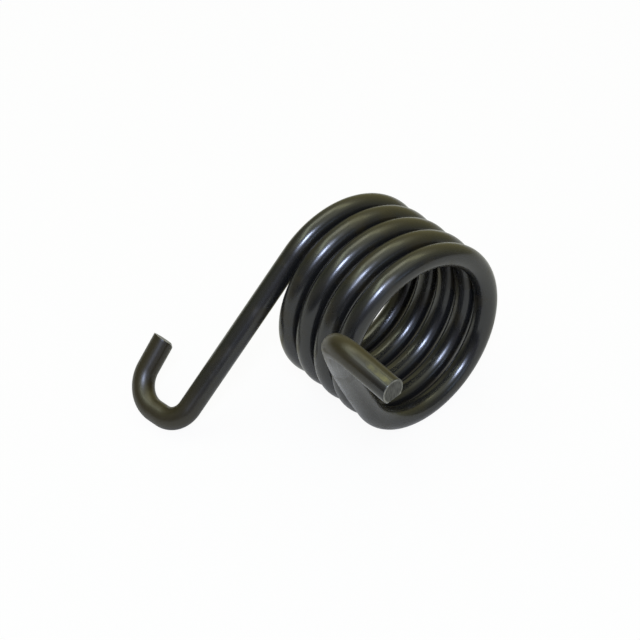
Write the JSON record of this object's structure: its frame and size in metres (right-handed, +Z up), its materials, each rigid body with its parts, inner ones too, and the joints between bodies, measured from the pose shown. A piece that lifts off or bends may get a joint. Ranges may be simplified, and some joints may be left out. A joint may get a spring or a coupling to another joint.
{
  "type": "torsion spring",
  "caption": "Left-hand wound helical torsion spring of round wire, with a straight hooked leg and an angled leg that ends in a short prong along the coil.",
  "frame": {"origin": "on the coil's axis, halfway along the coil", "axes": "the coil's axis is level along Y, with the turn that carries the angled leg towards -Y and the turn that carries the hooked leg towards +Y; +Z is up as the spring rests, and both legs point towards -X"},
  "size_m": [0.0553, 0.0583, 0.0392],
  "materials": {
    "spring_steel": "oil-tempered, black, slightly oily"
  },
  "bodies": {
    "root": {"spring_wire": "spring_steel"}
  },
  "joints": []
}
